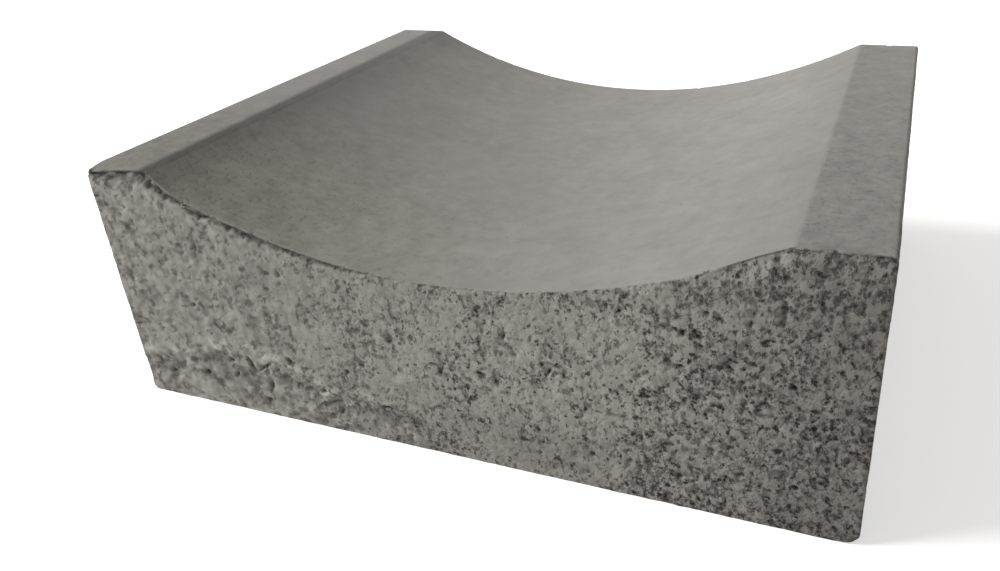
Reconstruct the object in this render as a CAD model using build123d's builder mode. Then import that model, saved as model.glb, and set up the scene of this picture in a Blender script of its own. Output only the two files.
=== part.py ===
"""Concrete gutter channel: a precast channel stone with a shallow dish along its top.

The stone is one block of pressed concrete. A circular dish runs from end to end between two flat
lips, and carries rainwater along the edge of a path or road. Stones are bedded end to end, so both
end faces are flat and square to the flow, and every stone has the same section.

Frame: X across the stone, Y along the flow of water, Z up. The origin is the middle of the base.
"""

from build123d import *
import os

os.makedirs("parts", exist_ok=True)

# Block, in millimetres
stone_width = 400
stone_length = 330
stone_height = 140

# Dish, measured between the inner edges of the lips and down from the top of the lips
dish_width = 325
dish_depth = 40

# Rounded edges that run along the stone
lip_inner_radius = 5
lip_outer_radius = 2
foot_radius = 4

half_width = stone_width / 2
half_dish = dish_width / 2

with BuildPart() as gutter_channel:
    # The section, drawn as it shows on the end face
    with BuildSketch(Plane.XZ) as section:
        with BuildLine() as outline:
            lip_right = Line((half_dish, stone_height), (half_width, stone_height))
            side_right = Line(lip_right @ 1, (half_width, 0))
            base = Line(side_right @ 1, (-half_width, 0))
            side_left = Line(base @ 1, (-half_width, stone_height))
            lip_left = Line(side_left @ 1, (-half_dish, stone_height))
            dish = SagittaArc(lip_left @ 1, lip_right @ 0, -dish_depth)
        make_face()
        # Corners are picked again for each radius, because rounding a corner replaces its neighbours
        fillet(section.vertices().group_by(Axis.Y)[0], radius=foot_radius)
        lip_corners = section.vertices().group_by(Axis.Y)[-1].sort_by(Axis.X)
        fillet(lip_corners[1:3], radius=lip_inner_radius)
        lip_corners = section.vertices().group_by(Axis.Y)[-1].sort_by(Axis.X)
        fillet([lip_corners[0], lip_corners[-1]], radius=lip_outer_radius)

    # Only the long edges are rounded. The end faces keep sharp edges, where stones butt together.
    extrude(amount=stone_length / 2, both=True)

gutter_channel.part.label = "gutter_channel"
export_step(gutter_channel.part, "parts/gutter_channel.step")
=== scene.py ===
import math

import bpy
import numpy as np
from mathutils import Matrix, Vector


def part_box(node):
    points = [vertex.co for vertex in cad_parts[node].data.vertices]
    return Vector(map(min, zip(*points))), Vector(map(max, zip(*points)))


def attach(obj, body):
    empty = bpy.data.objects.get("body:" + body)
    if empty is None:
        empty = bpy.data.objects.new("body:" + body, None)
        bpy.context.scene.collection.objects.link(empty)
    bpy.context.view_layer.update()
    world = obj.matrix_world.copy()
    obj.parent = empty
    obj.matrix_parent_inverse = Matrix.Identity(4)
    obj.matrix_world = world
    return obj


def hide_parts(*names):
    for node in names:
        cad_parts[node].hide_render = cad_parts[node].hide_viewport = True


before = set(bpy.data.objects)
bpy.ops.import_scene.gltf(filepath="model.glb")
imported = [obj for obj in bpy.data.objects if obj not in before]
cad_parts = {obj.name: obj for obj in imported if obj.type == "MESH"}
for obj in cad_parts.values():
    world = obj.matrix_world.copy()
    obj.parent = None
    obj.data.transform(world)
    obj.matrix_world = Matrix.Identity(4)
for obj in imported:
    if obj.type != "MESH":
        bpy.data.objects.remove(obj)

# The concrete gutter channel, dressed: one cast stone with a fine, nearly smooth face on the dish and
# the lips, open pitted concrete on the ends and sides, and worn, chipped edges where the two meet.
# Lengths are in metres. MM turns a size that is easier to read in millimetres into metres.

MM = 0.001
STONE = "gutter_channel"

# The block, from the frame, and its section, as the stone was moulded
low_corner, high_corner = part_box(STONE)
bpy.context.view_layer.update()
HALF_WIDTH = (high_corner.x - low_corner.x) / 2
HALF_LENGTH = (high_corner.y - low_corner.y) / 2
HEIGHT = high_corner.z
DISH_WIDTH = 325 * MM
DISH_DEPTH = 40 * MM
LIP_INNER_RADIUS = 5 * MM
LIP_OUTER_RADIUS = 2 * MM
FOOT_RADIUS = 4 * MM
DISH_RADIUS = ((DISH_WIDTH / 2) ** 2 + DISH_DEPTH**2) / (2 * DISH_DEPTH)

# Mesh: spacing of the fine grid that is carved, and how many triangles are kept of it
GRID_ACROSS = 1.0 * MM
GRID_ALONG = 1.5 * MM
TRIANGLES_KEPT = 190_000
# The band along the end edges of the top that keeps all of its grid
HELD_BAND = 7 * MM
# The bend between two triangles from which their edge is shaded as a sharp one
SHARP_FROM = math.radians(50)


# Noise that is the same on every run


def scramble(cells, seed):
    """One even random number from 0 to 1 for each whole-number cell of an (n, 3) array."""
    whole = cells.astype(np.int64).astype(np.uint32)
    mixed = whole[:, 0] * np.uint32(73856093)
    mixed ^= whole[:, 1] * np.uint32(19349663)
    mixed ^= whole[:, 2] * np.uint32(83492791)
    mixed ^= np.uint32((seed * 2654435761) % 2**32)
    for shift, factor in ((16, 0x7FEB352D), (15, 0x846CA68B)):
        mixed ^= mixed >> np.uint32(shift)
        mixed *= np.uint32(factor)
    mixed ^= mixed >> np.uint32(16)
    return mixed / 2.0**32


def smooth_step(value, start, end):
    """0 below start, 1 above end and a smooth rise between."""
    share = np.clip((value - start) / (end - start), 0, 1)
    return share * share * (3 - 2 * share)


def swell(points, cell, seed):
    """Smooth noise from -1 to 1 whose bumps are about one cell wide. cell may differ by axis."""
    place = points / np.asarray(cell)
    corner = np.floor(place)
    inside = place - corner
    ease = inside * inside * (3 - 2 * inside)
    total = np.zeros(len(points))
    for step in np.ndindex(2, 2, 2):
        step = np.array(step)
        share = np.prod(np.where(step == 1, ease, 1 - ease), axis=1)
        total += share * scramble(corner + step, seed)
    return 2 * total - 1


def layered_swell(points, cell, layers, seed):
    """Swell added up over finer and finer layers, each half the size and height of the last."""
    total, height = np.zeros(len(points)), 1.0
    for layer in range(layers):
        total += height * swell(points, np.asarray(cell) / 2**layer, seed + 17 * layer)
        height /= 2
    return total / (2 - 2 * height)


def raised_swell(points, cell, layers, seed):
    """Layered swell that goes from 0 to 1."""
    return 0.5 + 0.5 * layered_swell(points, cell, layers, seed)


# The stone's outline


def dish_height(x):
    """Height of the moulded top at a distance x from the middle of the stone."""
    x = np.abs(x)
    rounding_x = math.sqrt(DISH_DEPTH * (2 * (DISH_RADIUS + LIP_INNER_RADIUS) - DISH_DEPTH))
    dish_x = rounding_x * DISH_RADIUS / (DISH_RADIUS + LIP_INNER_RADIUS)
    dish = HEIGHT - DISH_DEPTH + DISH_RADIUS - np.sqrt(DISH_RADIUS**2 - np.minimum(x, dish_x) ** 2)
    over = np.clip(rounding_x - x, 0, LIP_INNER_RADIUS)
    rounding = HEIGHT - LIP_INNER_RADIUS + np.sqrt(LIP_INNER_RADIUS**2 - over**2)
    return np.where(x < dish_x, dish, rounding)


def quarter_round(centre_x, centre_z, radius, start, end, steps=16):
    """Points of a rounded edge, from one angle in degrees to another."""
    angles = np.radians(np.linspace(start, end, steps))
    return np.stack([centre_x + radius * np.cos(angles), centre_z + radius * np.sin(angles)], axis=1)


def spread_evenly(line, count):
    """The same line with count points, evenly spaced."""
    reach = np.concatenate([[0], np.cumsum(np.linalg.norm(np.diff(line, axis=0), axis=1))])
    wanted = np.linspace(0, reach[-1], count)
    return np.stack([np.interp(wanted, reach, line[:, k]) for k in range(2)], axis=1)


def section_sides(count_across, count_up):
    """The section as four lines that meet in the middle of its rounded corners.

    The base and the top run from left to right, and both sides from the bottom up.
    """
    lip = HALF_WIDTH - LIP_OUTER_RADIUS
    foot = HALF_WIDTH - FOOT_RADIUS
    x = np.linspace(-lip, lip, 4 * count_across)
    top = np.stack([x, dish_height(x)], axis=1)
    lip_z = HEIGHT - LIP_OUTER_RADIUS
    top = np.concatenate(
        [
            quarter_round(-lip, lip_z, LIP_OUTER_RADIUS, 135, 90)[:-1],
            top,
            quarter_round(lip, lip_z, LIP_OUTER_RADIUS, 90, 45)[1:],
        ]
    )
    base = np.concatenate(
        [
            quarter_round(-foot, FOOT_RADIUS, FOOT_RADIUS, 225, 270),
            quarter_round(foot, FOOT_RADIUS, FOOT_RADIUS, 270, 315),
        ]
    )
    right = np.concatenate(
        [
            quarter_round(foot, FOOT_RADIUS, FOOT_RADIUS, -45, 0),
            quarter_round(lip, lip_z, LIP_OUTER_RADIUS, 0, 45),
        ]
    )
    left = right * [-1, 1]
    across = [spread_evenly(line, count_across) for line in (base, top)]
    upward = [spread_evenly(line, count_up) for line in (left, right)]
    return across + upward


def plain_block():
    """Points, outward directions and four-sided faces of the plain block, as one closed mesh."""
    count_across = int(2 * HALF_WIDTH / GRID_ACROSS) + 1
    count_up = int(HEIGHT / GRID_ACROSS) + 1
    count_along = int(2 * HALF_LENGTH / GRID_ALONG) + 1
    base, top, left, right = section_sides(count_across, count_up)

    # Each end face is filled with a grid that follows all four lines
    u = np.linspace(0, 1, count_across)[:, None, None]
    v = np.linspace(0, 1, count_up)[None, :, None]
    fill = (1 - v) * base[:, None] + v * top[:, None] + (1 - u) * left[None] + u * right[None]
    fill -= (1 - u) * (1 - v) * base[0] + u * (1 - v) * base[-1]
    fill -= (1 - u) * v * top[0] + u * v * top[-1]

    # The ring runs once round the section: base, right side, top, left side
    number = np.arange(count_across * count_up).reshape(count_across, count_up)
    ring = np.concatenate([number[:-1, 0], number[-1, :-1], number[:0:-1, -1], number[0, :0:-1]])
    end_points = fill.reshape(-1, 2)
    ring_points = end_points[ring]
    stations = np.linspace(-HALF_LENGTH, HALF_LENGTH, count_along)

    def at_station(section, y):
        return np.stack([section[:, 0], np.full(len(section), y), section[:, 1]], axis=1)

    points = [at_station(end_points, -HALF_LENGTH), at_station(end_points, HALF_LENGTH)]
    points += [at_station(ring_points, y) for y in stations[1:-1]]
    points = np.concatenate(points)

    # Outward directions: round the section for the long faces, along the stone for both ends
    around = np.roll(ring_points, -1, axis=0) - np.roll(ring_points, 1, axis=0)
    around = np.stack([around[:, 1], -around[:, 0]], axis=1)
    around /= np.linalg.norm(around, axis=1, keepdims=True)
    outward = np.zeros_like(points)
    end_count = len(end_points)
    outward[:end_count, 1] = -1
    outward[end_count : 2 * end_count, 1] = 1
    for start in (0, end_count):
        outward[start + ring, 0] += around[:, 0]
        outward[start + ring, 2] += around[:, 1]
    inner = 2 * end_count
    outward[inner:, 0] = np.tile(around[:, 0], count_along - 2)
    outward[inner:, 2] = np.tile(around[:, 1], count_along - 2)
    outward /= np.linalg.norm(outward, axis=1, keepdims=True)

    cell = np.stack([number[:-1, :-1], number[1:, :-1], number[1:, 1:], number[:-1, 1:]], axis=-1)
    front = cell.reshape(-1, 4)
    back = front[:, ::-1] + end_count
    rings = [ring]
    rings += [inner + len(ring) * k + np.arange(len(ring)) for k in range(count_along - 2)]
    rings.append(ring + end_count)
    rings = np.array(rings)
    after = np.roll(rings, -1, axis=1)
    long_faces = np.stack([rings[:-1], rings[1:], after[1:], after[:-1]], axis=-1).reshape(-1, 4)
    return points, outward, np.concatenate([front, back, long_faces])


# Relief: everything is carved inwards from the plain block, so the stone keeps its size


# How deep each kind of relief goes where it is deepest
UNEVEN_DEPTH = 0.45 * MM
DRAG_DEPTH = 0.10 * MM
HOLE_DEPTH = 1.5 * MM
KNOWN_PORE_DEPTH = 2.2 * MM
LEDGE_DEPTH = 1.6 * MM
SPOT_DEPTH = 0.5 * MM
TOP_EDGE_DEPTH = 1.2 * MM
FINE_FACE_DEPTH = 0.25 * MM


class Shape:
    """The stone's points while they are carved, with what the finish needs to know of each."""

    def __init__(self):
        self.points, self.outward, self.faces = plain_block()
        self.start = self.points.copy()
        x, y, z = self.start.T
        # How far each point lies from the faces of the block
        self.to_end = HALF_LENGTH - np.abs(y)
        self.to_side = HALF_WIDTH - np.abs(x)
        self.to_top = dish_height(x) - z
        self.to_base = z
        # Which points belong to the top, to either end face and to the front face
        self.on_top = self.to_top < 0.3 * MM
        self.on_end = self.to_end < 0.01 * MM
        self.on_front = self.on_end & (y < 0)
        # 1 where the fine face is missing and open concrete shows
        self.open = np.where(self.on_top, 0.0, 1.0)
        # How much painted shade, with some dirt, darkens a point in a pit, a chip or a recess, how close
        # together the pores stand, how crisp they are, and how pale the concrete is, all from 0 to 1
        self.hollow_shade = np.zeros(len(x))
        self.crowded = crowding(self.start)
        self.crisp = crispness(self.start)
        self.pale = np.zeros(len(x))
        # How much darker than elsewhere the fine face and the open concrete are, partly as painted shade
        self.dull_fine, self.open_dull_and_shade = dullness_and_shade(self.start, self.on_top)


def near_front(points):
    """1 on the front face, falling to 0 over the next few centimetres along the stone."""
    return smooth_step(-points[:, 1], 110 * MM, 164 * MM)


def dullness_and_shade(points, on_top):
    """How dark the fine face and the open concrete are at each point, where 0 is their usual tone.

    The fine face is darker towards its front left, as painted shade of light that falls off towards the
    front. The front face is darker at its right end, also a little round the corner, at its foot, and a
    little below the dish. The open concrete on the top takes on part of the fine face's painted shade.
    """
    x, y, z = points.T
    # Painted shade on the fine face, darkest at its front left
    fine = smooth_step(-y, -150 * MM, 160 * MM)
    fine *= 0.45 + 0.55 * smooth_step(-x, -120 * MM, 120 * MM)
    right_end = smooth_step(x, 80 * MM, 215 * MM) * smooth_step(-y, 90 * MM, 165 * MM)
    foot = smooth_step(z, 48 * MM, 20 * MM) * near_front(points)
    foot *= np.interp(x / MM, (-200, -100, 0, 70, 120), (0.12, 0.3, 0.42, 0.5, 0.16))
    below_dish = smooth_step(z, 60 * MM, 85 * MM) * near_front(points)
    below_dish *= np.interp(x / MM, (-130, -95, 20, 90), (0, 0.17, 0.1, 0))
    front = right_end + foot + below_dish
    # Open concrete on the top shares part of the fine face's painted shade
    return fine, front + 0.6 * on_top * np.maximum(fine - front, 0)


def crispness(points):
    """0 where the open face is soft and lumpy, 1 where it is a flat skin with crisp pores.

    The front face goes from soft at its left end to crisp at its right end, but less so high up.
    """
    mixed = raised_swell(points, 110 * MM, 1, seed=45)
    front = near_front(points)
    rising = smooth_step(points[:, 0], -190 * MM, 60 * MM)
    rising *= 1 - 0.3 * smooth_step(points[:, 2], 85 * MM, 112 * MM)
    return front * rising + (1 - front) * mixed


def crowding(points):
    """Pores stand in loose clusters, and on the front face most are at the right."""
    clusters = smooth_step(layered_swell(points, 15 * MM, 3, seed=41), -0.5, 0.6)
    right_front = smooth_step(points[:, 0], 30 * MM, 170 * MM) * near_front(points)
    return 0.15 + clusters * (0.48 - 0.18 * right_front) + 0.40 * right_front


def above_layer_line(points):
    """Height over the ragged line, low on the front face, where one layer of the mix met the next."""
    places = (-205, -184, -150, -136, -122, -108, -95, -70, -30, 0)
    heights = (21, 25, 32, 37, 36, 34, 30, 21, 20, 16)
    line = np.interp(points[:, 0] / MM, places, heights) * MM
    return points[:, 2] - line - 5 * MM * layered_swell(points, 10 * MM, 3, seed=67)


# Pores that the front face is known by: place across, height, length and width in millimetres, and
# turn in degrees
FRONT_PORES = (
    (-134, 32, 5.0, 4.0, 20),
    (-120, 33, 10.0, 2.0, -67),
    (-111, 32, 13.0, 2.0, 38),
    (-180, 16, 5.0, 3.0, 0),
    (-154, 20, 5.0, 3.4, 20),
    (-132, 23, 4.4, 3.0, 60),
    (-113, 10, 4.4, 3.0, 0),
    (-109, 20, 6.0, 2.6, 85),
    (-92, 39, 6.0, 2.6, -50),
    (-150, 65, 3.0, 2.0, 30),
    (-74, 24, 3.6, 2.2, 0),
    (-56, 40, 3.0, 2.2, 60),
    (-35, 22, 6.5, 1.8, 5),
    (23, 54, 4.2, 2.2, -50),
    (36, 78, 5.0, 1.8, 70),
    (43, 20, 6.0, 1.6, 0),
    (58, 63, 5.0, 1.6, 65),
    (78, 20, 2.6, 2.6, 0),
    (125, 96, 3.6, 2.2, 70),
    (127, 94, 3.6, 2.0, -40),
    (120, 95, 3.6, 1.8, -60),
    (119, 78, 3.6, 2.0, 10),
    (140, 81, 3.2, 2.0, 0),
    (146, 75, 2.8, 2.0, 0),
    (155, 66, 3.6, 2.2, 0),
    (104, 59, 4.6, 1.8, 0),
    (167, 77, 2.4, 2.4, 0),
    (130, 106, 2.4, 2.2, 0),
    (135, 104, 2.4, 2.4, 0),
    (155, 97, 3.8, 1.8, 20),
    (150, 85, 3.6, 1.8, -30),
    (163, 43, 3.4, 2.4, 0),
    (176, 58, 3.0, 2.0, 40),
    (148, 104, 3.4, 2.0, 75),
    (147, 26, 3.6, 2.0, 15),
    (171, 25, 3.0, 2.4, -20),
)


def deepen_known_pores(at, front, depth, hollow_shade):
    """Adds the known pores of the front face to the depth of the points and to the painted shade in their
    hollows.
    """
    x, _, z = at.T
    uneven = 0.88 + 0.12 * swell(at, 1.6 * MM, seed=63)
    for across, height, length, width, turn in FRONT_PORES:
        turn = math.radians(turn)
        along = (x - across * MM) * math.cos(turn) + (z - height * MM) * math.sin(turn)
        aside = (z - height * MM) * math.cos(turn) - (x - across * MM) * math.sin(turn)
        reach = (2 * along / (length * MM)) ** 2 + (2 * aside / (width * MM)) ** 2
        share = front * np.exp(-(reach**1.5)) * uneven
        depth += KNOWN_PORE_DEPTH * share
        # Painted shade inside the pore
        np.maximum(hollow_shade, share, out=hollow_shade)


def deepen_layer_ledge(at, front, depth, hollow_shade):
    """Adds the ledge where two layers of the mix met, low on the left of the front face, with painted
    shade under it.

    Returns how near each point lies below the ledge, and how pale the clods along it are.
    """
    across = at[:, 0] / MM
    above = above_layer_line(at)
    stretch = front * smooth_step(across, 5, -40)
    under = stretch * smooth_step(above, 2.5 * MM, -2.5 * MM)
    ledge = under * np.exp(np.minimum(above, 0) / (7 * MM))
    broken = smooth_step(layered_swell(at, 5 * MM, 2, seed=69), -0.25, 0.3)
    spots = smooth_step(layered_swell(at, (6 * MM, 4 * MM, 4 * MM), 2, seed=75), 0.0, 0.4)
    depth += LEDGE_DEPTH * ledge * (0.2 + 0.8 * broken) + SPOT_DEPTH * under * spots
    # Painted shade under the ledge and in the spots below it
    shade = np.interp(across, (-185, -150), (0.6, 0.8))
    np.maximum.reduce([hollow_shade, shade * ledge * broken, 0.5 * under * spots], out=hollow_shade)
    rim = smooth_step(above, -1.5 * MM, 1.5 * MM) * smooth_step(above, 14 * MM, 4 * MM)
    rim *= np.interp(across, (-175, -140, -95, -65), (0.6, 1.0, 1.0, 0.5))
    clods = smooth_step(layered_swell(at, 5 * MM, 2, seed=73), -0.15, 0.4)
    return ledge, stretch * rim * (0.1 + 0.9 * clods) + 0.35 * under * clods


def carve_open_faces(shape):
    """The open texture of ends and sides: shallow unevenness, grains and ragged holes in clusters."""
    chosen = np.flatnonzero(((shape.open > 0) | shape.on_end) & (shape.to_base > 0.2 * MM))
    at = shape.start[chosen]
    crowded = shape.crowded[chosen]
    soft = 1 - shape.crisp[chosen]
    uneven = UNEVEN_DEPTH * raised_swell(at, 24 * MM, 3, seed=3)
    drag = DRAG_DEPTH * raised_swell(at, (2.2 * MM, 2.2 * MM, 26 * MM), 1, seed=9)
    grain = (0.22 + 0.3 * soft) * MM * raised_swell(at, 3.8 * MM, 2, seed=21)
    fewest = 0.52 - 0.24 * crowded
    hole = smooth_step(layered_swell(at, 4.6 * MM, 2, seed=51), fewest, fewest + 0.36)
    hole *= raised_swell(at, 9 * MM, 1, seed=57)
    depth = uneven + drag + grain + HOLE_DEPTH * hole
    # The holes are darkened with painted shade as well as carved
    hollow_shade = 0.8 * hole
    front = shape.on_front[chosen]
    deepen_known_pores(at, front, depth, hollow_shade)
    ledge, pale = deepen_layer_ledge(at, front, depth, hollow_shade)

    # Less deep close to the base, and nowhere deep along the edge of the top
    depth *= 0.35 + 0.65 * smooth_step(shape.to_base[chosen], 0, 2 * MM)
    top_edge = shape.on_top[chosen]
    depth[top_edge] = np.minimum(1.4 * depth[top_edge], TOP_EDGE_DEPTH)
    shape.points[chosen] -= shape.outward[chosen] * depth[:, None]
    shape.hollow_shade[chosen] = np.clip(hollow_shade, 0, 1)
    shape.crowded[chosen] = np.maximum(crowded, 0.95 * ledge)
    shape.pale[chosen] = pale


def carve_smooth_face(shape):
    """The dish and lips: nearly flat, with the faint unevenness of a pressed face."""
    chosen = np.flatnonzero(shape.open == 0)
    at = shape.start[chosen]
    wave = FINE_FACE_DEPTH * raised_swell(at, (45 * MM, 60 * MM, 45 * MM), 2, seed=71)
    shape.points[chosen] -= shape.outward[chosen] * wave[:, None]


def wear_end_edges(shape):
    """Both end faces meet the long faces in an edge that has crumbled a little all the way round."""
    rim = np.minimum.reduce([shape.to_top, shape.to_side, shape.to_base])
    edge = np.where(shape.on_end, rim, shape.to_end)
    chosen = np.flatnonzero(edge < 3 * MM)
    at = shape.start[chosen]
    reach = (0.5 + 0.7 * (1 + layered_swell(at, 6 * MM, 3, seed=81))) * MM
    close = np.clip(1 - edge[chosen] / reach, 0, 1)
    ends = np.sign(at[:, 1])[:, None] * [0, 1, 0]
    diagonal = shape.outward[chosen] + ends * ~shape.on_end[chosen, None]
    diagonal /= np.linalg.norm(diagonal, axis=1, keepdims=True)
    shape.points[chosen] -= diagonal * (0.45 * reach * close**1.2)[:, None]
    shape.open[chosen] = np.maximum(shape.open[chosen], smooth_step(close, 0.1, 0.35))


# The crumbled band below the top edge of the front face: places across the stone, and how tall it
# is there, in millimetres
CRUMBLED_AT = (-200, -185, -172, -160, -140, -115, -90, -60, -20, 60, 110, 135, 165, 200)
CRUMBLED_TO = (4.6, 6.0, 6.8, 6.8, 6.0, 5.4, 4.6, 3.4, 1.8, 1.0, 1.0, 1.6, 2.2, 2.2)


def crumble_below_top_edge(shape):
    """The porous band below the skin of the top: ragged recesses, tall at the left, darkened with painted
    shade, and painted shade on the edge above them at the left.
    """
    chosen = np.flatnonzero(shape.on_front & (shape.to_top < 11 * MM))
    at = shape.start[chosen]
    across = at[:, 0] / MM
    below = shape.to_top[chosen] / MM
    band = np.interp(across, CRUMBLED_AT, CRUMBLED_TO)
    strength = np.interp(band, (1.0, 4.0), (0.0, 1.0))
    lower = band * (1.0 + 0.5 * layered_swell(at, 5 * MM, 3, seed=85))
    inside = smooth_step(below, 0, 0.8) * smooth_step(below, lower, 0.7 * lower)
    ragged = smooth_step(layered_swell(at, 3.2 * MM, 2, seed=83), -0.6, 0.2)
    ragged *= 0.5 + 0.5 * smooth_step(layered_swell(at, 8 * MM, 2, seed=87), -0.45, 0.0)
    depth = (0.3 + 1.7 * ragged) * MM * strength * inside
    shape.points[chosen] -= shape.outward[chosen] * depth[:, None]
    # Painted shade on the edge itself at the left, where it would catch light
    rim = np.interp(across, (-150, -110), (0.68, 0.45)) * (below < 0.1)
    band_shade = strength * np.maximum(inside * (0.45 + 0.55 * ragged), rim)
    shape.hollow_shade[chosen] = np.maximum(shape.hollow_shade[chosen], band_shade)


# Where the front's top edge is worn: places across the stone, how far it has gone back and how far
# it has gone down there, in millimetres
WORN_AT = (-200, -186, -172, -162, -156, -148, -132, -108, 128, 138, 149, 157, 164, 180, 200)
WORN_BACK = (0.6, 1.6, 3.0, 3.4, 2.0, 0.3, 0.0, 0.0, 0.0, 2.8, 4.6, 3.0, 1.2, 1.8, 3.2)
WORN_DOWN = (1.8, 0.9, 0.2, 0.0, 0.6, 1.5, 1.6, 0.0, 0.0, 0.2, 0.4, 0.3, 0.3, 0.3, 0.4)


def wear_front_top_edge(shape):
    """Pulls the top edge of the front face back and down where it is worn."""
    across = shape.start[:, 0] / MM
    near = smooth_step(shape.to_top, 9 * MM, 0) * np.clip(1 - shape.to_end / (12 * MM), 0, 1) ** 1.5
    near[shape.start[:, 1] > 0] = 0
    shape.points[:, 1] += near * np.interp(across, WORN_AT, WORN_BACK) * MM
    shape.points[:, 2] -= near * np.interp(across, WORN_AT, WORN_DOWN) * MM


# How far, as a share of its radius, a broken hollow goes in and out
CHIP_ROUGHNESS = 0.18


def scoop(shape, centre, radius, seed):
    """Breaks out what lies inside a ball, as a knocked edge breaks, and leaves open concrete."""
    centre = np.asarray(centre)
    apart = shape.points - centre
    near = np.flatnonzero(np.abs(apart).max(axis=1) < radius * (1 + CHIP_ROUGHNESS))
    apart = apart[near]
    distance = np.linalg.norm(apart, axis=1)
    ragged = radius * (1 + CHIP_ROUGHNESS * swell(shape.points[near], 2.4 * MM, seed))
    inside = distance < ragged
    hit, apart, distance, ragged = near[inside], apart[inside], distance[inside], ragged[inside]
    pushed = centre + apart / np.maximum(distance, 1e-6)[:, None] * ragged[:, None]
    moved = np.linalg.norm(pushed - shape.points[hit], axis=1)
    shape.points[hit] = pushed
    shape.open[hit] = np.maximum(shape.open[hit], smooth_step(moved, 0.05 * MM, 0.3 * MM))
    # Painted shade, with some dirt, where the chip goes deep
    shape.hollow_shade[hit] = np.maximum(shape.hollow_shade[hit], smooth_step(moved, 0.3 * MM, 1.6 * MM) * 0.6)


def chip_top_edge(shape, end, x, length, depth):
    """A chip out of the edge between an end face (-1 front, 1 back) and the top, at a place x."""
    radius = (length**2 / 4 + depth**2) / (2 * depth)
    slope = (dish_height(x + 1 * MM) - dish_height(x - 1 * MM)) / (2 * MM)
    up = Vector((-slope, 0, 1)).normalized()
    out = (up + Vector((0, end, 0))).normalized()
    edge = Vector((x, end * HALF_LENGTH, float(dish_height(x))))
    scoop(shape, edge + out * (radius - depth), radius, seed=int(abs(x) / MM) + 7)


def chip_edges(shape):
    """Chips along the end edges: those that the front edge is known by, then small ones at random."""
    front_chips = (
        # place across the stone, length along the edge, depth, in millimetres
        (-194, 9, 1.3),
        (-158, 9, 1.2),
        (-143, 10, 1.3),
        (-119, 9, 1.0),
        (-101, 10, 1.0),
        (139, 9, 1.4),
        (167, 10, 1.2),
        (181, 9, 1.0),
    )
    for x, length, depth in front_chips:
        chip_top_edge(shape, -1, x * MM, length * MM, depth * MM)
    dice = np.random.default_rng(7)
    for end in (-1, 1):
        for x in dice.uniform(-HALF_WIDTH, HALF_WIDTH, 46):
            length = dice.uniform(3, 8) * MM
            chip_top_edge(shape, end, x, length, length * dice.uniform(0.1, 0.2))


def rub_lower_corner(shape, side, reach, depth):
    """Rubs a lower corner of the front face round (side -1 left, 1 right)."""
    from_corner = HALF_WIDTH - side * shape.start[:, 0] + shape.to_end + shape.to_base
    from_corner[shape.start[:, 1] > 0] = 1
    close = np.clip(1 - from_corner / reach, 0, 1)
    inwards = np.array([-side, 1, 1]) / math.sqrt(3)
    shape.points += inwards * (depth * close**2)[:, None]


def stone_mesh():
    """The carved stone as a mesh, with what the finish needs stored on its points.

    Returns the points that may be thinned out, too.
    """
    shape = Shape()
    carve_open_faces(shape)
    carve_smooth_face(shape)
    wear_end_edges(shape)
    crumble_below_top_edge(shape)
    chip_edges(shape)
    rub_lower_corner(shape, -1, 4 * MM, 1.4 * MM)
    rub_lower_corner(shape, 1, 8 * MM, 3.6 * MM)
    wear_front_top_edge(shape)
    mesh = bpy.data.meshes.new("gutter_stone")
    mesh.from_pydata(shape.points, [], shape.faces)
    stored = {
        "open_face": shape.open,
        "hollow_shade": shape.hollow_shade,
        "crowded": shape.crowded,
        "dull": shape.open * shape.open_dull_and_shade + (1 - shape.open) * shape.dull_fine,
        "crisp": shape.crisp,
        "pale": shape.pale,
    }
    for name, values in stored.items():
        layer = mesh.attributes.new(name, "FLOAT", "POINT")
        layer.data.foreach_set("value", values.astype(np.float32))
    mesh.update()
    return mesh, np.flatnonzero((shape.to_end > HELD_BAND) | (shape.to_top > HELD_BAND))


def thin_out(mesh, thinned_points, triangles):
    """The mesh with fewer triangles: most of them where the surface bends, few where it is flat.

    The thinned points are those that may go. The rest are held on to.
    """
    holder = bpy.data.objects.new("thinning", mesh)
    bpy.context.scene.collection.objects.link(holder)
    holder.vertex_groups.new(name="may go").add(thinned_points.tolist(), 1.0, "REPLACE")
    thinner = holder.modifiers.new("thin out", "DECIMATE")
    thinner.ratio = triangles / (2 * len(mesh.polygons))
    thinner.use_collapse_triangulate = True
    thinner.vertex_group = "may go"
    depsgraph = bpy.context.evaluated_depsgraph_get()
    seen = holder.evaluated_get(depsgraph)
    thinned = bpy.data.meshes.new_from_object(seen, preserve_all_data_layers=True, depsgraph=depsgraph)
    bpy.data.objects.remove(holder)
    bpy.data.meshes.remove(mesh)
    return thinned


# Materials

OPEN_TINT = (0.2850, 0.2675, 0.2448)
FINE_TINT = (0.287, 0.2780, 0.2574, 1.0)
# The fine face's warmer tint where its painted shade lies at the front left
FINE_TINT_SHADED_FRONT_LEFT = (0.2917, 0.2775, 0.2448, 1.0)


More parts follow.
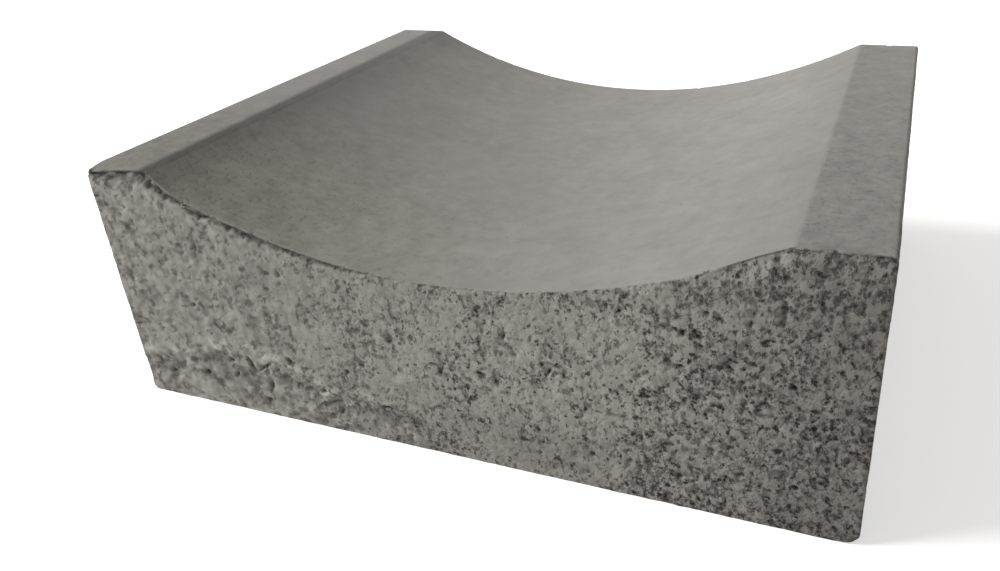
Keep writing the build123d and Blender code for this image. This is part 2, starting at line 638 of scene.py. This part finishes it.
class Wiring:
    """Puts nodes into one node tree, each with its values and connections in one call."""

    def __init__(self, tree):
        self.tree = tree

    def put(self, kind, values=None, **settings):
        """A new node. values fill its sockets by name or number, with a number, a colour or a socket."""
        node = self.tree.nodes.new("ShaderNode" + kind)
        for name, setting in settings.items():
            setattr(node, name, setting)
        return self.filled(node, values or {})

    def group(self, tree, **values):
        """The outputs of a node group. Its inputs are given by their names in small letters."""
        node = self.tree.nodes.new("ShaderNodeGroup")
        node.node_tree = tree
        return self.filled(node, {name.capitalize(): value for name, value in values.items()}).outputs

    def filled(self, node, values):
        for name, value in values.items():
            if isinstance(value, bpy.types.NodeSocket):
                self.tree.links.new(value, node.inputs[name])
            else:
                node.inputs[name].default_value = value
        return node

    def math(self, operation, *values):
        return self.put("Math", dict(enumerate(values)), operation=operation).outputs[0]

    def scaled(self, value, low, high, to_low=0.0, to_high=1.0, smooth=False):
        """value, moved from the range low to high into another range, and held inside it."""
        values = {"Value": value, "From Min": low, "From Max": high, "To Min": to_low, "To Max": to_high}
        kind = "SMOOTHSTEP" if smooth else "LINEAR"
        return self.put("MapRange", values, interpolation_type=kind).outputs["Result"]

    def added(self, value, *layers):
        """value with each layer added to it: another value, and how much of it."""
        for layer, amount in layers:
            value = self.math("MULTIPLY_ADD", layer, amount, value)
        return value

    def darkened(self, tone, *layers):
        """tone darkened by each layer: a share from 0 to 1, and the change where it is 1 (-1 is black)."""
        for share, change in layers:
            tone = self.math("MULTIPLY", tone, self.math("MULTIPLY_ADD", share, change, 1.0))
        return tone

    def stored(self, name):
        """A value that the mesh stores on its points."""
        return self.put("Attribute", attribute_name=name).outputs["Fac"]

    def mixed(self, share, first, second):
        """first where share is 0, second where it is 1."""
        return self.put("Mix", {0: share, 6: first, 7: second}, data_type="RGBA").outputs[2]

    def dimmed(self, tint, factor):
        """A colour times a number."""
        return self.put("VectorMath", {0: tint, "Scale": factor}, operation="SCALE").outputs[0]


def new_group(name, inputs, outputs):
    """An empty node group with number sockets, and the nodes that stand for its inputs and outputs."""
    tree = bpy.data.node_groups.new(name, "ShaderNodeTree")
    for socket, kind, value in inputs:
        made = tree.interface.new_socket(socket, in_out="INPUT", socket_type=kind)
        if value is not None:
            made.default_value = value
    for socket in outputs:
        tree.interface.new_socket(socket, in_out="OUTPUT", socket_type="NodeSocketFloat")
    wiring = Wiring(tree)
    given = tree.nodes.new("NodeGroupInput").outputs
    result = tree.nodes.new("NodeGroupOutput").inputs
    return tree, wiring, given, result


def mottle_group():
    """Soft patches, lighter and darker by turns. Size is in millimetres."""
    inputs = [
        ("Place", "NodeSocketVector", None),
        ("Size", "NodeSocketFloat", 20.0),
        ("Detail", "NodeSocketFloat", 3.0),
    ]
    tree, w, given, result = new_group("mottle", inputs, ["Tone"])
    scale = w.math("DIVIDE", 1.0, given["Size"])
    values = {"Vector": given["Place"], "Scale": scale, "Detail": given["Detail"], "Roughness": 0.55}
    patches = w.put("TexNoise", values).outputs["Fac"]
    tree.links.new(w.scaled(patches, 0.25, 0.75, -1.0, 1.0), result["Tone"])
    return tree


def pores_group():
    """Small ragged holes. Size is the distance between them in millimetres.

    Threshold says how few there are, and Crowding, from 0 to 1, adds more.
    """
    inputs = [
        ("Place", "NodeSocketVector", None),
        ("Size", "NodeSocketFloat", 3.0),
        ("Detail", "NodeSocketFloat", 2.0),
        ("Threshold", "NodeSocketFloat", 0.65),
        ("Crowding", "NodeSocketFloat", 0.0),
        ("Softness", "NodeSocketFloat", 0.06),
    ]
    tree, w, given, result = new_group("pores", inputs, ["Hole"])
    scale = w.math("DIVIDE", 1.0, given["Size"])
    values = {"Vector": given["Place"], "Scale": scale, "Detail": given["Detail"], "Roughness": 0.6}
    ragged = w.put("TexNoise", values).outputs["Fac"]
    low = w.math("SUBTRACT", given["Threshold"], w.math("MULTIPLY", given["Crowding"], 0.12))
    high = w.math("ADD", low, given["Softness"])
    tree.links.new(w.scaled(ragged, low, high, smooth=True), result["Hole"])
    return tree


def sand_group():
    """Grains of sand. Size is in millimetres.

    Tone is one value for each grain, and Rise how far it stands out.
    """
    inputs = [("Place", "NodeSocketVector", None), ("Size", "NodeSocketFloat", 1.6)]
    tree, w, given, result = new_group("sand", inputs, ["Tone", "Rise"])
    values = {"Vector": given["Place"], "Scale": w.math("DIVIDE", 0.8, given["Size"]), "Detail": 1.0}
    bend = w.put("TexNoise", values)
    centred = w.put("VectorMath", {0: bend.outputs["Color"], 1: (0.5, 0.5, 0.5)}, operation="SUBTRACT")
    offset = w.put("VectorMath", {0: centred.outputs[0], "Scale": given["Size"]}, operation="SCALE")
    bent = w.put("VectorMath", {0: given["Place"], 1: offset.outputs[0]}, operation="ADD").outputs[0]
    cells = w.put("TexVoronoi", {"Vector": bent, "Scale": w.math("DIVIDE", 1.0, given["Size"])}).outputs
    split = w.put("SeparateColor", {"Color": cells["Color"]})
    tree.links.new(w.scaled(split.outputs["Red"], 0.0, 1.0, -1.0, 1.0), result["Tone"])
    tree.links.new(w.scaled(cells["Distance"], 0.75, 0.15, smooth=True), result["Rise"])
    return tree


class Texture:
    """What both faces of the concrete draw on: places in millimetres, node groups and patterns."""

    def __init__(self, w):
        in_metres = w.put("TexCoord").outputs["Object"]
        self.place = w.put("VectorMath", {0: in_metres, "Scale": 1 / MM}, operation="SCALE").outputs[0]
        self.across, self.along, up = w.put("SeparateXYZ", {0: self.place}).outputs
        # Patterns on this place are drawn out a little: sideways at the left end, upwards at the right
        squeezed = w.math("MULTIPLY", self.across, w.math("MULTIPLY_ADD", self.across, 0.0004, 0.88))
        lowered = w.math("MULTIPLY", up, 0.9)
        self.lying = w.put("CombineXYZ", {0: squeezed, 1: self.along, 2: lowered}).outputs[0]
        self.mottle, self.pores = mottle_group(), pores_group()
        self.blotches = w.group(self.mottle, place=self.lying, size=5.4, detail=2.0)["Tone"]
        self.speckle = w.group(self.mottle, place=self.lying, size=3.8, detail=3.0)["Tone"]
        self.grain = w.group(sand_group(), place=self.lying, size=2.5)
        self.dull = w.stored("dull")


def open_concrete(w, texture):
    """Colour and height of open concrete: light and dark grains, fine pits and larger voids, with painted
    shade in the pits, the voids, their cores and the hollows.

    Where it isn't crisp, soft lumps and blots take the place of the grains and the pits.
    """
    mottle, pores = texture.mottle, texture.pores
    crisp = w.stored("crisp")
    crowded = w.stored("crowded")
    soft = w.scaled(crisp, 0.0, 0.9, 1.0, 0.0)
    fine = w.scaled(crisp, 0.0, 0.9, 0.1, 1.0)
    patches = w.group(mottle, place=texture.place, size=16.0, detail=3.0)["Tone"]
    lumps = w.group(mottle, place=texture.lying, size=4.6, detail=0.6)["Tone"]
    soft_lumps = w.math("MULTIPLY", lumps, soft)
    upright = w.put("VectorMath", {0: texture.place, 1: (1.0, 1.0, 0.1)}, operation="MULTIPLY")
    streaks = w.group(mottle, place=upright.outputs[0], size=2.4, detail=1.0)["Tone"]
    pit_crowd = w.scaled(crowded, 0.1, 0.9, -0.7, 0.7)
    void_crowd = w.scaled(crowded, 0.1, 0.9, -0.5, 0.65)
    values = {"place": texture.lying, "threshold": 0.50, "softness": 0.25}
    pits = w.group(pores, size=2.4, detail=2.2, crowding=pit_crowd, **values)["Hole"]
    voids = w.group(pores, size=3.6, detail=1.2, crowding=void_crowd, **values)["Hole"]
    blots = w.group(pores, size=6.5, detail=1.0, crowding=void_crowd, **values)["Hole"]
    values = {"place": texture.lying, "threshold": 0.66, "softness": 0.1}
    cores = w.group(pores, size=2.9, detail=1.5, crowding=void_crowd, **values)["Hole"]
    tone = w.added(
        1.015,
        (patches, 0.08),
        (w.math("MULTIPLY", texture.blotches, soft), 0.16),
        (soft_lumps, 0.22),
        (texture.speckle, w.math("MULTIPLY", fine, 0.15)),
        (streaks, w.math("MULTIPLY", fine, 0.05)),
        (texture.grain["Tone"], w.math("MULTIPLY", fine, 0.13)),
        (w.stored("pale"), 0.78),
    )
    # Painted shade in the pits, the voids, their cores and the hollows, the soft blots, and the darker
    # places of the stone, which are partly painted shade
    tone = w.darkened(
        tone,
        (pits, w.math("MULTIPLY", fine, -0.91)),
        (voids, w.scaled(crisp, 0.0, 1.0, -0.42, -0.48)),
        (blots, w.math("MULTIPLY", soft, -0.38)),
        (cores, w.math("MULTIPLY", fine, -0.85)),
        (w.stored("hollow_shade"), -0.75),
        (texture.dull, -0.39),
    )
    rise = w.added(
        0.0,
        (w.math("MULTIPLY", texture.grain["Rise"], fine), 0.14),
        (soft_lumps, 0.4),
        (w.math("MULTIPLY", pits, fine), -0.5),
        (voids, -0.6),
        (w.math("MULTIPLY", cores, fine), -0.5),
    )
    return w.dimmed(OPEN_TINT, tone), rise


def fine_face(w, texture):
    """Colour and height of the fine face: clouds, blotches, specks and stains.

    They are stronger towards the front left and on the right lip. The dish darkens towards both lips,
    towards the left one as painted shade of a steeper slope; the lips are darker still, dirt and painted
    shade of a softer rounding lie along the left one, and painted shade darkens the front left, where the
    tint is warmer.
    """
    place, across, along = texture.place, texture.across, texture.along
    broad = w.group(texture.mottle, place=place, size=38.0, detail=2.0)["Tone"]
    clouds = w.group(texture.mottle, place=place, size=11.0, detail=4.0)["Tone"]
    front_left = w.scaled(texture.dull, 0.55, 1.0)
    right_lip = w.math("MULTIPLY", w.scaled(across, 161.0, 165.0), w.scaled(along, 60.0, -60.0, 0.4, 1.0))
    mottled = w.math("MAXIMUM", front_left, right_lip)
    values = {"place": place, "detail": 2.0, "softness": 0.2}
    specks = w.group(texture.pores, size=3.4, threshold=0.62, crowding=mottled, **values)["Hole"]
    stains = w.group(texture.pores, size=15.0, threshold=0.60, crowding=front_left, **values)["Hole"]
    tone = w.added(
        1.0,
        (broad, 0.06),
        (clouds, w.math("MULTIPLY_ADD", mottled, 0.05, 0.08)),
        (texture.blotches, w.math("MULTIPLY_ADD", mottled, 0.09, 0.03)),
        (texture.speckle, 0.03),
    )
    lip = w.scaled(w.math("ABSOLUTE", across), 161.5, 163.5, smooth=True)
    in_dish = w.math("SUBTRACT", 1.0, lip)
    # Painted shade near the left lip, where a steeper dish would turn away from the light
    near_left = w.math("MULTIPLY", w.scaled(across, -138.0, -159.0, smooth=True), in_dish)
    near_left = w.math("MULTIPLY", near_left, w.scaled(along, 100.0, -130.0, 0.28, 1.0))
    near_right = w.math("MULTIPLY", w.scaled(across, 105.0, 165.0, smooth=True), in_dish)
    # Dirt and painted shade of a softer rounding along the left lip
    outer = w.scaled(w.math("MULTIPLY_ADD", along, 0.020, across), -173.3, -167.3)
    inner = w.scaled(across, -159.5, -164.1)
    dirt_and_shade = w.math("MULTIPLY", w.math("MULTIPLY", outer, inner), w.scaled(along, 150.0, -150.0, 0.50, 0.80))
    tone = w.darkened(
        tone,
        (lip, -0.16),
        (near_left, -0.25),
        (near_right, -0.16),
        (dirt_and_shade, -1.0),
        (texture.dull, -0.22),
        (stains, -0.09),
        (specks, -0.16),
    )
    rise = w.added(0.0, (clouds, 0.04), (specks, -0.10), (texture.grain["Rise"], 0.012))
    # A warmer tint where the painted shade lies at the front left
    colour = w.mixed(front_left, FINE_TINT, FINE_TINT_SHADED_FRONT_LEFT)
    return w.dimmed(colour, tone), rise


def concrete_material():
    """Grey pressed concrete: a fine face on the dish and lips, open and porous everywhere else."""
    material = bpy.data.materials.new("pressed_concrete")
    material.use_nodes = True
    w = Wiring(material.node_tree)
    texture = Texture(w)
    open_tint, open_rise = open_concrete(w, texture)
    fine_tint, fine_rise = fine_face(w, texture)
    open_face = w.stored("open_face")
    rise = w.scaled(open_face, 0.0, 1.0, fine_rise, open_rise)
    bump = w.put("Bump", {"Height": rise, "Distance": MM, "Strength": 1.0})
    values = {
        "Base Color": w.mixed(open_face, fine_tint, open_tint),
        "Roughness": w.scaled(open_face, 0.0, 1.0, 0.82, 0.95),
        "Specular IOR Level": 0.3,
        "Normal": bump.outputs["Normal"],
    }
    w.filled(material.node_tree.nodes["Principled BSDF"], values)
    return material


# Where each face of the block lies on the map that the finish can be baked to: the two axes that it
# spans, its corner on the map in millimetres, and its scale there
MAP_SIDE = 700.0
MAP_PLACES = {
    "top": (0, 1, 4, 4, 1.0),
    "left": (2, 1, 412, 4, 1.0),
    "right": (2, 1, 556, 4, 1.0),
    "front": (0, 2, 4, 342, 1.0),
    "back": (0, 2, 4, 490, 1.0),
    "base": (0, 1, 412, 342, 0.5),
}


# How much the way a triangle faces counts when its face of the block is chosen, as a distance
FACING_WEIGHT = 3.5 * MM


def lay_out_map(mesh):
    """Gives the mesh a flat map, on which every face of the block lies by itself."""
    points = np.empty(3 * len(mesh.vertices))
    mesh.vertices.foreach_get("co", points)
    points = points.reshape(-1, 3)
    corners = np.empty(len(mesh.loops), dtype=np.int64)
    mesh.loops.foreach_get("vertex_index", corners)
    triangles = corners.reshape(-1, 3)
    x, y, z = points[triangles].mean(axis=1).T
    facing = np.empty(3 * len(mesh.polygons))
    mesh.polygons.foreach_get("normal", facing)
    facing_x, facing_y, facing_z = facing.reshape(-1, 3).T * FACING_WEIGHT
    away = {
        "top": dish_height(x) - z - facing_z,
        "left": x + HALF_WIDTH + facing_x,
        "right": HALF_WIDTH - x - facing_x,
        "front": y + HALF_LENGTH + facing_y,
        "back": HALF_LENGTH - y - facing_y,
        "base": z + facing_z,
    }
    nearest = np.argmin([away[name] for name in MAP_PLACES], axis=0)
    places = np.array(list(MAP_PLACES.values()))[nearest].repeat(3, axis=0)
    low = np.array([-HALF_WIDTH, -HALF_LENGTH, 0])
    offset = (points[corners] - low) / MM
    row = np.arange(len(corners))
    along = [offset[row, places[:, k].astype(int)] * places[:, 4] + places[:, k + 2] for k in range(2)]
    flat = mesh.uv_layers.new(name="OFBake")
    flat.data.foreach_set("uv", (np.stack(along, axis=1) / MAP_SIDE).ravel())


def make_stone():
    mesh = thin_out(*stone_mesh(), TRIANGLES_KEPT)
    lay_out_map(mesh)
    mesh.shade_smooth()
    mesh.set_sharp_from_angle(angle=SHARP_FROM)
    stone = bpy.data.objects.new("gutter_stone", mesh)
    bpy.context.scene.collection.objects.link(stone)
    mesh.materials.append(concrete_material())
    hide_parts(STONE)
    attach(stone, "root")
    return stone


# Studio

FLOOR_REACH = 12.0
CAMERA_PLACE = Vector((0.1927, -0.4651, 0.2874))
CAMERA_AIM = Vector((0.0643, -0.165, 0.1198))
CAMERA_ROLL = math.radians(-3.5)
LENS = 31.0
SENSOR = 36.0
# The photo is a crop, so the middle of its lens lies to the right of and above the picture's middle
PICTURE_SHIFT = (-0.0542, -0.0211)

KEY_FROM = Vector((-0.776, -0.243, 0.582))
KEY_STRENGTH = 3.5
KEY_SPREAD = math.radians(25)
ROOM_STRENGTH = 0.34
ROOM_TINT = (1.0, 0.985, 0.955, 1.0)
WHITE = (1.0, 1.0, 1.0, 1.0)
FLOOR_TINT = (0.9, 0.9, 0.9, 1.0)
FLOOR_GLOW = 0.5


def make_camera():
    data = bpy.data.cameras.new("camera")
    data.lens = LENS
    data.sensor_width = SENSOR
    data.shift_x, data.shift_y = PICTURE_SHIFT
    data.clip_start = 0.01
    camera = bpy.data.objects.new("camera", data)
    turn = (CAMERA_AIM - CAMERA_PLACE).to_track_quat("-Z", "Y").to_matrix().to_4x4()
    camera.matrix_world = Matrix.Translation(CAMERA_PLACE) @ turn @ Matrix.Rotation(CAMERA_ROLL, 4, "Z")
    bpy.context.scene.collection.objects.link(camera)
    bpy.context.scene.camera = camera


def seen_directly(w):
    """1 for what the camera sees, also in a mirror or through glass, and 0 for light that bounces."""
    path = w.put("LightPath").outputs
    direct = w.math("MAXIMUM", path["Is Camera Ray"], path["Is Glossy Ray"])
    return w.math("MAXIMUM", direct, path["Is Transmission Ray"])


def make_floor():
    """A pale floor. A little glow that only the camera sees lifts it to white and softens the shadow."""
    mesh = bpy.data.meshes.new("floor")
    corners = [(x * FLOOR_REACH, y * FLOOR_REACH, 0) for x, y in ((-1, -1), (1, -1), (1, 1), (-1, 1))]
    mesh.from_pydata(corners, [], [(0, 1, 2, 3)])
    floor = bpy.data.objects.new("floor", mesh)
    bpy.context.scene.collection.objects.link(floor)
    material = bpy.data.materials.new("white_floor")
    material.use_nodes = True
    w = Wiring(material.node_tree)
    values = {
        "Base Color": FLOOR_TINT,
        "Roughness": 1.0,
        "Specular IOR Level": 0.0,
        "Emission Color": WHITE,
        "Emission Strength": w.math("MULTIPLY", seen_directly(w), FLOOR_GLOW),
    }
    w.filled(material.node_tree.nodes["Principled BSDF"], values)
    mesh.materials.append(material)


def make_lights():
    """One large soft key from the left and a little in front, in a plain bright room."""
    key = bpy.data.lights.new("key", "SUN")
    key.energy = KEY_STRENGTH
    key.angle = KEY_SPREAD
    lamp = bpy.data.objects.new("key", key)
    lamp.rotation_euler = KEY_FROM.to_track_quat("Z", "Y").to_euler()
    bpy.context.scene.collection.objects.link(lamp)
    world = bpy.data.worlds.new("room")
    bpy.context.scene.world = world
    world.use_nodes = True
    w = Wiring(world.node_tree)
    room = w.filled(world.node_tree.nodes["Background"], {"Color": ROOM_TINT, "Strength": ROOM_STRENGTH})
    backdrop = w.put("Background", {"Color": WHITE, "Strength": 1.0})
    shown = w.put("MixShader", {0: seen_directly(w), 1: room.outputs[0], 2: backdrop.outputs[0]})
    world.node_tree.links.new(shown.outputs[0], world.node_tree.nodes["World Output"].inputs["Surface"])


make_stone()
make_floor()
make_lights()
make_camera()
bpy.context.scene.view_settings.view_transform = "Standard"
